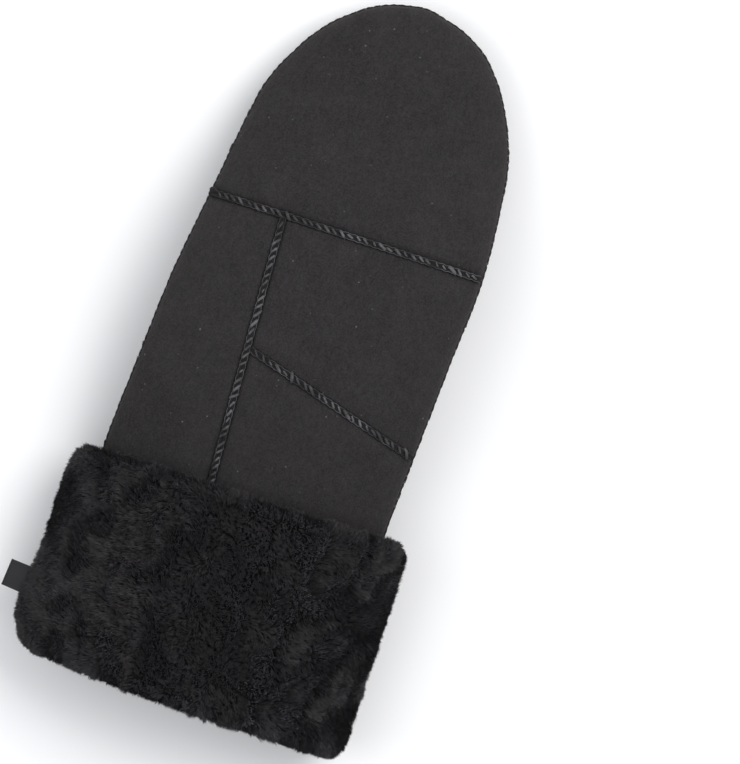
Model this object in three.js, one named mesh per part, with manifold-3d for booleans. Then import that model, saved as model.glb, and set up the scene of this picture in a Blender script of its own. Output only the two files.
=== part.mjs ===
// A left-hand shearling mitten, lying palm down with its cuff turned up.
// Millimetres, +Z up. X runs across the hand and is positive on the thumb's side. Y runs from the cuff to the fingertips.
// The origin is the middle of the flat where the cuff rests, on the surface that the mitten lies on.
import * as THREE from "three";
import { mergeVertices } from "three/addons/utils/BufferGeometryUtils.js";
import Module from "manifold-3d";

const wasm = await Module();
wasm.setup();

// Whole mitten
const LENGTH = 310; // fold of the cuff to the fingertips
const HAND_WIDTH = 120; // flat width that the outline's shares follow
const BACK_RISE = 15; // back of the hand above the edge seam
const PALM_DROP = 15; // palm below the edge seam
const EDGE_LIFT = 36.5; // edge seam above the surface, where it is highest
const GAP = 0.3; // clearance between neighbouring pieces

// Skins
const LEATHER = 1.8;
const LINING_PILE = 5.5; // pressed wool inside the hand
const THUMB_PILE = 2.4; // and inside the thumb
const CUFF_PILE = 10.3; // loose wool outside the cuff
const LOCK = 2.6; // how far a lock of wool stands out of the pile
const LOCK_LEAN = 2.4; // how far its tip leans aside
const LOCK_SPREAD = 9; // width of a lock that stands out fully; narrower ones stand out less

// Turned-up cuff
const CUFF_HEIGHT = 93;
const FOLD_WALL = 11; // wool between the fold's outer edge and the leather inside it
const FOLD_BOW = 3.6; // how far the fold's middle bulges away from the hand
const ROLL_DEPTH = 31; // wool that rolls into the mouth, measured from the fold
const LIP_DEPTH = 9; // stretch of the cuff's upper edge that stands off the seams
const LIP_STAND = 2.4;

// Seams
const SEAM_WIDTH = 2.4;
const SEAM_PROUD = 1.2; // ridge above the leather
const CROSS_ALONG = 208.5; // cross seam, measured from the fold
const LENGTHWISE_TOP = -19.6; // lengthwise seam's place across the hand, at the cross seam
const LENGTHWISE_FOOT = -14.2; // and at the cuff's upper edge
const DIAGONAL_ALONG = 151.5; // where the diagonal seam leaves the lengthwise one, from the fold
const DIAGONAL_FALL = 23; // how much nearer to the fold it ends, at the thumb's edge

// Thumb, sewn under the palm
const THUMB_LENGTH = 92;
const THUMB_WIDTH = 48;
const THUMB_BASE = 112; // its root, measured from the fold
const THUMB_ACROSS = 28; // its centre line, across the hand
const THUMB_GAP = 0.8; // its clearance below the palm's arch
const THUMB_HOLE_LENGTH = 40;
const THUMB_HOLE_WIDTH = 28;
const THUMB_HOLE_INSET = 27; // centre of the hole from the thumb's root

// Woven tab in the cuff's side
const LABEL_WIDTH = 12;
const LABEL_SHOWN = 8.6; // how far it stands out of the wool
const LABEL_TUCK = 6;
const LABEL_THICKNESS = 1.2;
const LABEL_CORNER = 1.2;
const LABEL_ALONG = 31; // its middle, measured from the fold

// Fineness of the faceted surfaces
const ACROSS_STEPS = 16; // facets over each side of the hand
const CUFF_STATIONS = 4; // along the leather, under the cuff
const HAND_STATIONS = 15; // and from the cuff to the fingertips
const LOCK_ROWS = 10;
const THUMB_STATIONS = 11;
const THUMB_SIDES = 16;
const HOLE_SIDES = 24;

const FOLD_Y = -CUFF_HEIGHT / 2;
const CUFF_TOP_Y = CUFF_HEIGHT / 2;
const HALF_WIDTH = HAND_WIDTH / 2;
const EDGE_HALF = SEAM_WIDTH / 2 + GAP; // half the slit that the edge seam fills

// Flat outline and fullness of the hand.
// along: share of LENGTH from the fold. left, right: shares of HALF_WIDTH. lift: share of EDGE_LIFT.
// full: share of BACK_RISE and PALM_DROP.
const SECTIONS = [
  { along: 0, left: -1.02, right: 1.023, lift: 0.633, full: 0.86 },
  { along: 0.15, left: -1.023, right: 1.023, lift: 0.633, full: 0.86 },
  { along: 0.31, left: -1.023, right: 1.026, lift: 0.7, full: 0.93 },
  { along: 0.42, left: -0.988, right: 1.052, lift: 0.92, full: 1 },
  { along: 0.553, left: -0.942, right: 1.088, lift: 1, full: 1 },
  { along: 0.672, left: -0.862, right: 1.122, lift: 0.92, full: 1 },
  { along: 0.788, left: -0.788, right: 1.08, lift: 0.6, full: 0.97 },
  { along: 0.846, left: -0.728, right: 1.025, lift: 0.47, full: 0.92 },
  { along: 0.901, left: -0.592, right: 0.904, lift: 0.4, full: 0.82 },
  { along: 0.94, left: -0.45, right: 0.773, lift: 0.362, full: 0.7 },
  { along: 0.969, left: -0.28, right: 0.622, lift: 0.343, full: 0.54 },
  { along: 0.987, left: -0.127, right: 0.447, lift: 0.334, full: 0.37 },
  { along: 0.997, left: 0.047, right: 0.267, lift: 0.33, full: 0.18 },
  { along: 1, left: 0.161, right: 0.161, lift: 0.33, full: 0 },
];

// Thumb: along is a share of THUMB_LENGTH from its root, half and full are shares of half its width and height.
const THUMB_SECTIONS = [
  { along: 0, half: 0, full: 0 },
  { along: 0.03, half: 0.5, full: 0.5 },
  { along: 0.12, half: 0.82, full: 0.85 },
  { along: 0.3, half: 1, full: 1 },
  { along: 0.6, half: 0.96, full: 1 },
  { along: 0.8, half: 0.84, full: 0.94 },
  { along: 0.93, half: 0.56, full: 0.72 },
  { along: 0.985, half: 0.26, full: 0.38 },
  { along: 1, half: 0, full: 0 },
];

// How a flattened section rounds off from its middle (share 0) to its edge (share 1).
const rounding = (share) => Math.pow(Math.max(0, 1 - Math.pow(Math.abs(share), 2.4)), 0.55);

// Edge seam's line: up the left side, round the fingertips and down the right side.
const edgePoint = (row, side) =>
  new THREE.Vector3(row[side] * HALF_WIDTH, FOLD_Y + row.along * LENGTH, row.lift * EDGE_LIFT);
const descending = SECTIONS.slice(0, -1).reverse();
const edge = new THREE.CatmullRomCurve3(
  [...SECTIONS.map((row) => edgePoint(row, "left")), ...descending.map((row) => edgePoint(row, "right"))],
  false,
  "catmullrom",
  0.5,
);
const fullness = new THREE.CatmullRomCurve3(
  [...SECTIONS, ...descending.map((row) => ({ full: -row.full }))].map((row) => new THREE.Vector3(row.full, 0, 0)),
  false,
  "catmullrom",
  0.5,
);

// The edge line at a share of its length, moved in by a depth, square to the line.
function edgeAt(share, depth) {
  const point = edge.getPoint(share);
  const along = edge.getTangent(share);
  return point.add(new THREE.Vector3(along.y, -along.x, 0).normalize().multiplyScalar(depth));
}

// A point of the mitten's skin at a station (0 at the fold, 1 at the fingertips), a share across (-1 to 1),
// on the back (side 1) or the palm (side -1), at a depth below the leather's outer face.
function skin(station, across, side, depth) {
  const left = edgeAt(station / 2, depth);
  const right = edgeAt(1 - station / 2, depth);
  const point = left.lerp(right, (1 + across) / 2);
  const height = side > 0 ? BACK_RISE : PALM_DROP;
  const bulge = fullness.getPoint(station / 2).x * (height - depth) * rounding(across);
  point.z += side * (EDGE_HALF + bulge);
  return point;
}

// The station whose section lies at a given y.
function stationAt(y) {
  let low = 0;
  let high = 1;
  for (let i = 0; i < 40; i++) {
    const middle = (low + high) / 2;
    if (edge.getPoint(middle / 2).y < y) low = middle;
    else high = middle;
  }
  return (low + high) / 2;
}

// Height of the leather over or under a point of the plan, at a depth below its outer face.
function skinOver(x, y, side, depth = 0) {
  const station = stationAt(y);
  const left = edgeAt(station / 2, depth).x;
  const right = edgeAt(1 - station / 2, depth).x;
  const across = THREE.MathUtils.clamp((2 * (x - left)) / (right - left) - 1, -1, 1);
  return skin(station, across, side, depth).z;
}

// Closed solids from points
function solid(corners) {
  const geometry = new THREE.BufferGeometry().setFromPoints(corners);
  return solidOf(geometry);
}

function solidOf(geometry) {
  const bare = (geometry.index ? geometry.toNonIndexed() : geometry).clone();
  bare.deleteAttribute("normal");
  bare.deleteAttribute("uv");
  const merged = mergeVertices(bare, 1e-4);
  const all = merged.index.array;
  const kept = [];
  for (let i = 0; i < all.length; i += 3) {
    const [a, b, c] = [all[i], all[i + 1], all[i + 2]];
    if (a !== b && b !== c && c !== a) kept.push(a, b, c);
  }
  const build = (triangles) =>
    new wasm.Manifold(
      new wasm.Mesh({
        numProp: 3,
        vertProperties: merged.attributes.position.array,
        triVerts: new Uint32Array(triangles),
      }),
    );
  const made = build(kept);
  return made.volume() < 0 ? build(kept.slice().reverse()) : made;
}

const quad = (a, b, c, d) => [a, b, c, a, c, d];

// A wall between two grids of points, closed round its four edges.
function wall(outer, inner) {
  const corners = [];
  const rows = outer.length - 1;
  const columns = outer[0].length - 1;
  for (let i = 0; i < rows; i++) {
    for (let j = 0; j < columns; j++) {
      corners.push(...quad(outer[i][j], outer[i][j + 1], outer[i + 1][j + 1], outer[i + 1][j]));
      corners.push(...quad(inner[i][j], inner[i + 1][j], inner[i + 1][j + 1], inner[i][j + 1]));
    }
    corners.push(...quad(outer[i][0], outer[i + 1][0], inner[i + 1][0], inner[i][0]));
    corners.push(...quad(outer[i + 1][columns], outer[i][columns], inner[i][columns], inner[i + 1][columns]));
  }
  for (let j = 0; j < columns; j++) {
    corners.push(...quad(outer[0][j + 1], outer[0][j], inner[0][j], inner[0][j + 1]));
    corners.push(...quad(outer[rows][j], outer[rows][j + 1], inner[rows][j + 1], inner[rows][j]));
  }
  return solid(corners);
}

// Closed rings joined one to the next, and the last to the first.
// lockTip(i, j) gives the tip of a lock over a facet, or nothing where the facet is plain.
function ringSolid(rings, lockTip = () => null) {
  const corners = [];
  const count = rings[0].length;
  rings.forEach((ring, i) => {
    const next = rings[(i + 1) % rings.length];
    for (let j = 0; j < count; j++) {
      const k = (j + 1) % count;
      const around = [ring[j], ring[k], next[k], next[j]];
      const tip = lockTip(i, j);
      if (tip) around.forEach((corner, n) => corners.push(corner, around[(n + 1) % 4], tip));
      else corners.push(...quad(...around));
    }
  });
  return solid(corners);
}

// Sections of equal count joined along a path, with flat ends.
function sweep(sections) {
  const corners = [];
  const count = sections[0].length;
  for (let i = 0; i + 1 < sections.length; i++) {
    for (let j = 0; j < count; j++) {
      const k = (j + 1) % count;
      corners.push(...quad(sections[i][j], sections[i][k], sections[i + 1][k], sections[i + 1][j]));
    }
  }
  const last = sections.length - 1;
  for (let j = 1; j + 1 < count; j++) {
    corners.push(sections[0][0], sections[0][j + 1], sections[0][j]);
    corners.push(sections[last][0], sections[last][j], sections[last][j + 1]);
  }
  return solid(corners);
}

// An upright prism over an outline of the plan.
function prism(outline, bottom, top) {
  const geometry = new THREE.ExtrudeGeometry(new THREE.Shape(outline), {
    depth: top - bottom,
    bevelEnabled: false,
    curveSegments: HOLE_SIDES / 4,
  });
  geometry.translate(0, 0, bottom);
  return solidOf(geometry);
}

const steps = (count) => Array.from({ length: count + 1 }, (_, i) => i / count);

// Stations and columns that the leather and the lining share, so that their facets run parallel.
const hemStation = stationAt(FOLD_Y + FOLD_WALL);
const lipStation = stationAt(CUFF_TOP_Y - LIP_DEPTH);
const cuffStation = stationAt(CUFF_TOP_Y);
const between = (from, to, count) => steps(count).map((share) => THREE.MathUtils.lerp(from, to, share));
const handStations = [
  ...between(hemStation, lipStation, CUFF_STATIONS),
  ...between(cuffStation, 1, HAND_STATIONS),
];
const columns = steps(ACROSS_STEPS).map((share) => -Math.cos(Math.PI * share));

// A ring round the hand at a station: over the back, then under the palm.
function ring(station, depth) {
  return [
    ...columns.map((across) => skin(station, across, 1, depth)),
    ...columns.toReversed().map((across) => skin(station, across, -1, depth)),
  ];
}

function halfShell(side) {
  const face = (depth) => handStations.map((s) => columns.map((across) => skin(s, across, side, depth)));
  return wall(face(0), face(LEATHER));
}

// Seam paths, in plan
const tipward = (along) => FOLD_Y + along;
const edgeX = (y, side) => edge.getPoint(side < 0 ? stationAt(y) / 2 : 1 - stationAt(y) / 2).x;

function crossPath() {
  const y = tipward(CROSS_ALONG);
  const [from, to] = [edgeX(y, -1), edgeX(y, 1)];
  return columns.map((across) => new THREE.Vector2(THREE.MathUtils.lerp(from, to, (1 + across) / 2), y));
}

// The lengthwise seam runs on under the cuff, to the leather's hem.
function lengthwiseX(y) {
  const share = (y - CUFF_TOP_Y) / (tipward(CROSS_ALONG) - CUFF_TOP_Y);
  return THREE.MathUtils.lerp(LENGTHWISE_FOOT, LENGTHWISE_TOP, share);
}

function lengthwisePath() {
  const from = tipward(FOLD_WALL);
  const to = tipward(CROSS_ALONG) - SEAM_WIDTH / 2 - GAP;
  const passed = handStations.map((station) => edge.getPoint(station / 2).y).filter((y) => y > from + 1 && y < to - 1);
  return [from, ...passed, to].map((y) => new THREE.Vector2(lengthwiseX(y), y));
}

// The diagonal seam starts at a clearance from the middle of the lengthwise one.
function diagonalPath(clearance) {
  const y = tipward(DIAGONAL_ALONG);
  const start = lengthwiseX(y);
  const left = edgeX(y - DIAGONAL_FALL, -1);
  const to = edgeX(y - DIAGONAL_FALL, 1);
  const passed = columns.map((across) => THREE.MathUtils.lerp(left, to, (1 + across) / 2));
  return [start + clearance, ...passed.filter((x) => x > start + clearance + 1)].map(
    (x) => new THREE.Vector2(x, y - (DIAGONAL_FALL * (x - start)) / (to - start)),
  );
}

// Unit vectors square to a plan path, one at each point.
function squares(path) {
  return path.map((_, i) => {
    const ahead = path[Math.min(i + 1, path.length - 1)];
    const behind = path[Math.max(i - 1, 0)];
    const along = ahead.clone().sub(behind).normalize();
    return new THREE.Vector2(-along.y, along.x);
  });
}

// A channel for a seam, cut upright through the back. The ends named run past the path.
function channel(path, runStart, runEnd) {
  const longer = path.map((point) => point.clone());
  const last = path.length - 1;
  const reach = HALF_WIDTH / 2;
  const beyond = (end, inner, far) => path[end].clone().sub(path[inner]).normalize().multiplyScalar(far);
  longer[0].add(beyond(0, 1, runStart ? reach : 0));
  longer[last].add(beyond(last, last - 1, runEnd ? reach : 0));
  const side = squares(path);
  const half = SEAM_WIDTH / 2 + GAP;
  const left = longer.map((point, i) => point.clone().addScaledVector(side[i], half));
  const right = longer.map((point, i) => point.clone().addScaledVector(side[i], -half));
  return prism([...left, ...right.reverse()], EDGE_LIFT / 2, EDGE_LIFT + 2 * BACK_RISE);
}

// How proud a seam stands: not at all under the cuff, and fully from the cuff's upper edge on.
function proudAt(y) {
  return SEAM_PROUD * THREE.MathUtils.clamp((y - CUFF_TOP_Y + LIP_DEPTH) / LIP_DEPTH, 0, 1);
}

// The ridge of a sewn seam, seated in its channel.
function ridge(path) {
  const side = squares(path);
  const corner = (point, square, across, depth, up) => {
    const p = point.clone().addScaledVector(square, (across * SEAM_WIDTH) / 2);
    return new THREE.Vector3(p.x, p.y, skinOver(p.x, p.y, 1, depth) + up);
  };
  return sweep(
    path.map((point, i) => {
      const proud = proudAt(point.y);
      return [
        corner(point, side[i], -1, LEATHER - 2 * GAP, 0),
        corner(point, side[i], 1, LEATHER - 2 * GAP, 0),
        corner(point, side[i], 1, 0, proud * 0.5),
        corner(point, side[i], 0.5, 0, proud),
        corner(point, side[i], -0.5, 0, proud),
        corner(point, side[i], -1, 0, proud * 0.5),
      ];
    }),
  );
}

// Seams that reach the edge stop short of the edge seam.
function shortOfEdge(path, startToo) {
  const inset = SEAM_WIDTH / 2 + GAP;
  const short = path.map((point) => point.clone());
  const last = path.length - 1;
  const backFrom = (end, inner) => path[inner].clone().sub(path[end]).normalize().multiplyScalar(inset);
  short[last].add(backFrom(last, last - 1));
  if (startToo) short[0].add(backFrom(0, 1));
  return short;
}

// The seam round the whole outline, between the back and the palm.
function edgeSeam() {
  const half = SEAM_WIDTH / 2;
  const shares = [
    ...handStations.map((s) => s / 2),
    ...handStations
      .slice(0, -1)
      .reverse()
      .map((s) => 1 - s / 2),
  ];
  return sweep(
    shares.map((share) => {
      const proud = proudAt(edge.getPoint(share).y);
      const corner = (depth, up) => edgeAt(share, depth).add(new THREE.Vector3(0, 0, up));
      return [
        corner(LEATHER, -half),
        corner(-proud * 0.4, -half),
        corner(-proud, -half * 0.5),
        corner(-proud, half * 0.5),
        corner(-proud * 0.4, half),
        corner(LEATHER, half),
      ];
    }),
  );
}

// A length of the wool inside the hand, between two stations. The halves meet along the edge seam.
function liningLength(side, from, to) {
  const passed = handStations.filter((s) => s > from + 0.01 && s < to - 0.01);
  const rim = (station, across, depth) => {
    const point = skin(station, across, side, depth);
    point.z += side * (GAP / 2 - EDGE_HALF);
    return point;
  };
  const section = (s, depth) => [
    rim(s, -1, depth),
    ...columns.map((across) => skin(s, across, side, depth)),
    rim(s, 1, depth),
  ];
  const face = (depth) => [from, ...passed, to].map((s) => section(s, depth));
  return wall(face(LEATHER + GAP), face(LEATHER + GAP + LINING_PILE));
}

// Where the lining starts, past the cuff's roll. The palm's wool parts at the cuff's upper edge and at the
// knuckles, a third of the stations on from there.
const rollStation = stationAt(FOLD_Y + ROLL_DEPTH + GAP);
const knuckleStation = handStations[CUFF_STATIONS + 1 + Math.round(HAND_STATIONS / 3)];
const beside = (station, shift) => stationAt(edge.getPoint(station / 2).y + shift);

// The cuff: wool on a leather backing, turned up round the hem of the hand and rolled into its mouth.
// Each row of the profile is a distance along from the fold and a distance out from the hand's leather.
function cuffProfile() {
  const backing = GAP + LEATHER;
  const out = backing + CUFF_PILE;
  const inside = -(LEATHER + GAP);
  const woolInside = inside - LINING_PILE;
  const lockStart = FOLD_WALL * 0.75;
  const lockEnd = CUFF_HEIGHT - 7;
  const row = (along, distance) => ({ along, out: distance });
  const underLip = handStations
    .map((station) => edge.getPoint(station / 2).y - FOLD_Y)
    .filter((along) => along > FOLD_WALL + 1 && along < CUFF_HEIGHT - LIP_DEPTH - 0.1)
    .reverse();
  return {
    beforeLocks: [
      row(ROLL_DEPTH, woolInside),
      row(FOLD_WALL, woolInside),
      row(FOLD_WALL * 0.35, woolInside + LINING_PILE * 0.3),
      row(0.6, inside * 0.4),
      row(0.2, out * 0.3),
      row(FOLD_WALL * 0.2, out * 0.72),
    ],
    locks: steps(LOCK_ROWS).map((share) => row(THREE.MathUtils.lerp(lockStart, lockEnd, share), out)),
    afterLocks: [
      row(CUFF_HEIGHT - 2.6, out * 0.86),
      row(CUFF_HEIGHT - 0.6, out * 0.62),
      row(CUFF_HEIGHT, out * 0.4),
      row(CUFF_HEIGHT - 1.5, LIP_STAND),
      row(CUFF_HEIGHT - LIP_DEPTH, GAP),
      ...underLip.map((along) => row(along, GAP)),
      row(FOLD_WALL - GAP, GAP),
      row(FOLD_WALL - GAP, inside),
      ...underLip.filter((along) => along < ROLL_DEPTH - 1).map((along) => row(along, inside)).reverse(),
      row(ROLL_DEPTH, inside),
    ],
  };
}

const onSurface = (point) => point.setZ(Math.max(0, point.z));

// The fold's middle bulges away from the hand, and the bulge dies out towards the cuff's upper edge.
function bowed(point) {
  const across = point.x / (HALF_WIDTH + GAP + LEATHER + CUFF_PILE);
  const left = 1 - (point.y - FOLD_Y) / CUFF_HEIGHT;
  point.y -= FOLD_BOW * Math.max(0, 1 - across * across) * left * left;
  return point;
}

function cuffSolid() {
  const { beforeLocks, locks, afterLocks } = cuffProfile();
  const profile = [...beforeLocks, ...locks, ...afterLocks];
  const outerRows = beforeLocks.length + locks.length;
  const rings = profile.map((row, i) => {
    const round = ring(stationAt(FOLD_Y + row.along), -row.out).map(onSurface);
    return i > 1 && i < outerRows ? round.map(bowed) : round;
  });
  const lockTip = (i, j) => {
    if (i < beforeLocks.length || i >= outerRows - 1) return null;
    const next = (j + 1) % rings[i].length;
    const [a, b, c, d] = [rings[i][j], rings[i][next], rings[i + 1][next], rings[i + 1][j]];
    const middle = a.clone().add(b).add(c).add(d).multiplyScalar(0.25);
    const acrossWay = c.clone().sub(a);
    const outward = new THREE.Vector3().crossVectors(acrossWay, d.clone().sub(b)).normalize();
    if (outward.dot(new THREE.Vector3(middle.x, 0, middle.z - EDGE_LIFT * SECTIONS[0].lift)) < 0) outward.negate();
    const turn = 2.4 * i + 4.1 * j;
    const spread = Math.min(1, a.distanceTo(b) / LOCK_SPREAD);
    const lean = new THREE.Vector3(spread * Math.sin(turn), -1, 0).multiplyScalar(LOCK_LEAN * 0.7);
    return onSurface(middle.addScaledVector(outward, LOCK * spread * (1 + 0.3 * Math.sin(1.9 * turn))).add(lean));
  };
  return ringSolid(rings, lockTip);
}

// Thumb, between the surface and the palm
const thumbCurve = new THREE.CatmullRomCurve3(
  THUMB_SECTIONS.map(
    (row) => new THREE.Vector3((row.half * THUMB_WIDTH) / 2, tipward(THUMB_BASE) + row.along * THUMB_LENGTH, row.full),
  ),
  false,
  "catmullrom",
  0.5,
);

function thumbRing(share, depth) {
  const at = thumbCurve.getPoint(share);
  const middle = tipward(THUMB_BASE) + THUMB_LENGTH / 2;
  const y = middle + (at.y - middle) * (1 - (2 * depth) / THUMB_LENGTH);
  const half = at.x * (1 - (2 * depth) / THUMB_WIDTH);
  return Array.from({ length: THUMB_SIDES }, (_, j) => {
    const angle = (2 * Math.PI * j) / THUMB_SIDES;
    const x = THUMB_ACROSS + half * Math.cos(angle);
    const under = skinOver(x, y, -1) - THUMB_GAP;
    const upper = Math.min(1, at.z) * rounding(Math.cos(angle)) * Math.sign(Math.sin(angle));
    return new THREE.Vector3(x, y, under / 2 + upper * (under / 2 - depth));
  });
}

const thumbBody = (depth) => {
  const shares = steps(THUMB_STATIONS);
  return solid(
    shares.slice(0, -1).flatMap((share, i) => {
      const [here, next] = [thumbRing(share, depth), thumbRing(shares[i + 1], depth)];
      return here.flatMap((_, j) => {
        const k = (j + 1) % THUMB_SIDES;
        return quad(here[j], here[k], next[k], next[j]);
      });
    }),
  );
};

function holePoint(angle, inset) {
  const y = tipward(THUMB_BASE + THUMB_HOLE_INSET);
  return new THREE.Vector2(
    THUMB_ACROSS + (THUMB_HOLE_WIDTH / 2 - inset) * Math.cos(angle),
    y + (THUMB_HOLE_LENGTH / 2 - inset) * Math.sin(angle),
  );
}

const holeAngles = Array.from({ length: HOLE_SIDES }, (_, i) => (2 * Math.PI * i) / HOLE_SIDES);
const thumbHole = (bottom) =>
  prism(
    holeAngles.map((angle) => holePoint(angle, 0)),
    bottom,
    EDGE_LIFT,
  );

// The sewn joint that lines the hole through the palm and the thumb.
function thumbSeam() {
  const inside = (angle, inset, up) => {
    const p = holePoint(angle, inset);
    return new THREE.Vector3(p.x, p.y, skinOver(p.x, p.y, -1) + up);
  };
  const ringOf = (inset, up) => holeAngles.map((angle) => inside(angle, inset, up));
  const low = -(THUMB_GAP + LEATHER);
  return ringSolid([
    ringOf(GAP, low),
    ringOf(GAP, LEATHER),
    ringOf(GAP + LEATHER, LEATHER),
    ringOf(GAP + LEATHER, low),
  ]);
}

// Label
function labelOutline(grow) {
  const cuffEdge = edgeX(tipward(LABEL_ALONG), -1) - GAP - LEATHER - CUFF_PILE;
  const low = new THREE.Vector2(cuffEdge - LABEL_SHOWN - grow, tipward(LABEL_ALONG) - LABEL_WIDTH / 2 - grow);
  const high = new THREE.Vector2(cuffEdge + LABEL_TUCK + grow, tipward(LABEL_ALONG) + LABEL_WIDTH / 2 + grow);
  const corner = LABEL_CORNER;
  return [
    new THREE.Vector2(low.x + corner, low.y),
    new THREE.Vector2(high.x, low.y),
    new THREE.Vector2(high.x, high.y),
    new THREE.Vector2(low.x + corner, high.y),
    new THREE.Vector2(low.x + corner * 0.3, high.y - corner * 0.3),
    new THREE.Vector2(low.x, high.y - corner),
    new THREE.Vector2(low.x, low.y + corner),
    new THREE.Vector2(low.x + corner * 0.3, low.y + corner * 0.3),
  ];
}

function labelSolid(grow) {
  const middle = edge.getPoint(stationAt(tipward(LABEL_ALONG)) / 2).z;
  const half = LABEL_THICKNESS / 2 + grow;
  return prism(labelOutline(grow), middle - half, middle + half);
}

// Materials
const suede = new THREE.MeshStandardMaterial({ color: 0x2a2929, roughness: 0.95, metalness: 0 });
const seamSuede = new THREE.MeshStandardMaterial({ color: 0x2f2f33, roughness: 0.9, metalness: 0 });
const wool = new THREE.MeshStandardMaterial({ color: 0x17161a, roughness: 1, metalness: 0 });
const tape = new THREE.MeshStandardMaterial({ color: 0x2c2b31, roughness: 0.8, metalness: 0 });

const mitten = new THREE.Group();

function add(name, made, material) {
  const { numProp, vertProperties, triVerts } = made.getMesh();
  const positions = new Float32Array((vertProperties.length / numProp) * 3);
  for (let i = 0; i * 3 < positions.length; i++)
    positions.set(vertProperties.subarray(i * numProp, i * numProp + 3), i * 3);
  const geometry = new THREE.BufferGeometry();
  geometry.setAttribute("position", new THREE.BufferAttribute(positions, 3));
  geometry.setIndex(new THREE.BufferAttribute(triVerts, 1));
  geometry.computeVertexNormals();
  const mesh = new THREE.Mesh(geometry, material);
  mesh.name = name;
  mitten.add(mesh);
}

// The back, parted along its seams. A panel is known by a point of the plan that it covers.
function addBack() {
  const parted = halfShell(1)
    .subtract(channel(crossPath(), true, true))
    .subtract(channel(lengthwisePath(), true, false))
    .subtract(channel(diagonalPath(0), false, true));
  const bodies = parted.decompose();
  const panelOver = (x, y) => {
    const needle = [
      [-1, -1],
      [1, -1],
      [1, 1],
      [-1, 1],
    ].map(([i, j]) => new THREE.Vector2(x + i, y + j));
    const probe = prism(needle, EDGE_LIFT / 2, EDGE_LIFT + 2 * BACK_RISE);
    return bodies.find((body) => body.intersect(probe).volume() > 0);
  };
  const rightOf = HALF_WIDTH / 2;
  add("finger_panel", panelOver(0, tipward(CROSS_ALONG) + HALF_WIDTH / 2), suede);
  add("side_panel", panelOver(LENGTHWISE_TOP - HALF_WIDTH / 3, tipward(DIAGONAL_ALONG)), suede);
  add("back_panel", panelOver(rightOf, tipward((CROSS_ALONG + DIAGONAL_ALONG) / 2)), suede);
  add("wrist_panel", panelOver(rightOf, tipward(DIAGONAL_ALONG - 2 * DIAGONAL_FALL)), suede);
}

addBack();
add("palm_panel", halfShell(-1).subtract(thumbHole(0)), suede);
const thumbShell = (from, to) => thumbBody(from).subtract(thumbBody(to)).subtract(thumbHole(EDGE_LIFT / 4));
add("thumb", thumbShell(0, LEATHER), suede);
add("thumb_lining", thumbShell(LEATHER + GAP, LEATHER + GAP + THUMB_PILE), wool);
add("thumb_seam", thumbSeam(), seamSuede);
add("edge_seam", edgeSeam(), seamSuede);
add("cross_seam", ridge(shortOfEdge(crossPath(), true)), seamSuede);
add("lengthwise_seam", ridge(lengthwisePath()), seamSuede);
add("diagonal_seam", ridge(shortOfEdge(diagonalPath(SEAM_WIDTH / 2 + 2.5 * GAP), false)), seamSuede);
add("back_lining", liningLength(1, rollStation, 1), wool);
add("heel_lining", liningLength(-1, rollStation, beside(cuffStation, -GAP / 2)), wool);
const palmWool = liningLength(-1, beside(cuffStation, GAP / 2), beside(knuckleStation, -GAP / 2));
add("palm_lining", palmWool.subtract(thumbHole(0)), wool);
add("finger_lining", liningLength(-1, beside(knuckleStation, GAP / 2), 1), wool);
add("turned_cuff", cuffSolid().subtract(labelSolid(GAP)), wool);
add("label", labelSolid(0), tape);

export default mitten;
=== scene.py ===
"""Looks of the shearling mitten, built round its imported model.

Suede panels with whipped seams, a turned-up cuff of sheared wool, the wool inside, the thumb under the palm
and the bare tab in the cuff's side. Sizes are in millimetres and become metres as each mesh is made.
"""

import math
from collections import namedtuple

import bpy
import numpy as np
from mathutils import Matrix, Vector, kdtree


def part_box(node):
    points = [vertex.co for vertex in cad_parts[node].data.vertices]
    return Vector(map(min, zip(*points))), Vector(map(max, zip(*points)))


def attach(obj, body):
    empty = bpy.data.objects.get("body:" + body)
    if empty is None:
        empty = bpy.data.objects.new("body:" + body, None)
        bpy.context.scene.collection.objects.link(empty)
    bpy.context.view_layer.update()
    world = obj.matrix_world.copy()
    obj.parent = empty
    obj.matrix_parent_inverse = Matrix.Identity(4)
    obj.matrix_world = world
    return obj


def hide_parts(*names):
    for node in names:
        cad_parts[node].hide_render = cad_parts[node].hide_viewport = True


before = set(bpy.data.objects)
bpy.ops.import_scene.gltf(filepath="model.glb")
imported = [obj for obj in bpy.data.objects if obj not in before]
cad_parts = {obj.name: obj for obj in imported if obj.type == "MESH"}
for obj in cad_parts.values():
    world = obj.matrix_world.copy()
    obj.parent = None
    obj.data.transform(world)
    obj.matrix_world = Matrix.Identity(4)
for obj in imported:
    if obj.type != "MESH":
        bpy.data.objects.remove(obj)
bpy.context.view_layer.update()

MM = 0.001
rng = np.random.default_rng(7)

# Whole mitten, as in the part's source
LENGTH = 310.0
HAND_WIDTH = 120.0
BACK_RISE = 15.0
PALM_DROP = 15.0
EDGE_LIFT = 36.5
EDGE_HALF = 1.5
LEATHER = 1.8
LINING_PILE = 5.5
CUFF_PILE = 10.3
GAP = 0.3
CUFF_HEIGHT = 93.0
FOLD_WALL = 11.0
FOLD_BOW = 3.6
FOLD_SKEW = 3.3
FOLD_Y = -CUFF_HEIGHT / 2
CUFF_TOP_Y = CUFF_HEIGHT / 2
HALF_WIDTH = HAND_WIDTH / 2

# Seams
CROSS_Y = FOLD_Y + 208.5
LENGTHWISE_TOP = -19.6
LENGTHWISE_FOOT = -14.2
DIAGONAL_Y = FOLD_Y + 151.5
DIAGONAL_FALL = 23.0
SEAM_HALF = 1.35
STITCH_PITCH = 3.5
THREAD_STEP = 0.85
SAMPLES = 400
INSET = 1.2
EDGE_DEPTH = 0.35
DIAGONAL_COSINE = 0.96
FAR = 99.0

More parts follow.
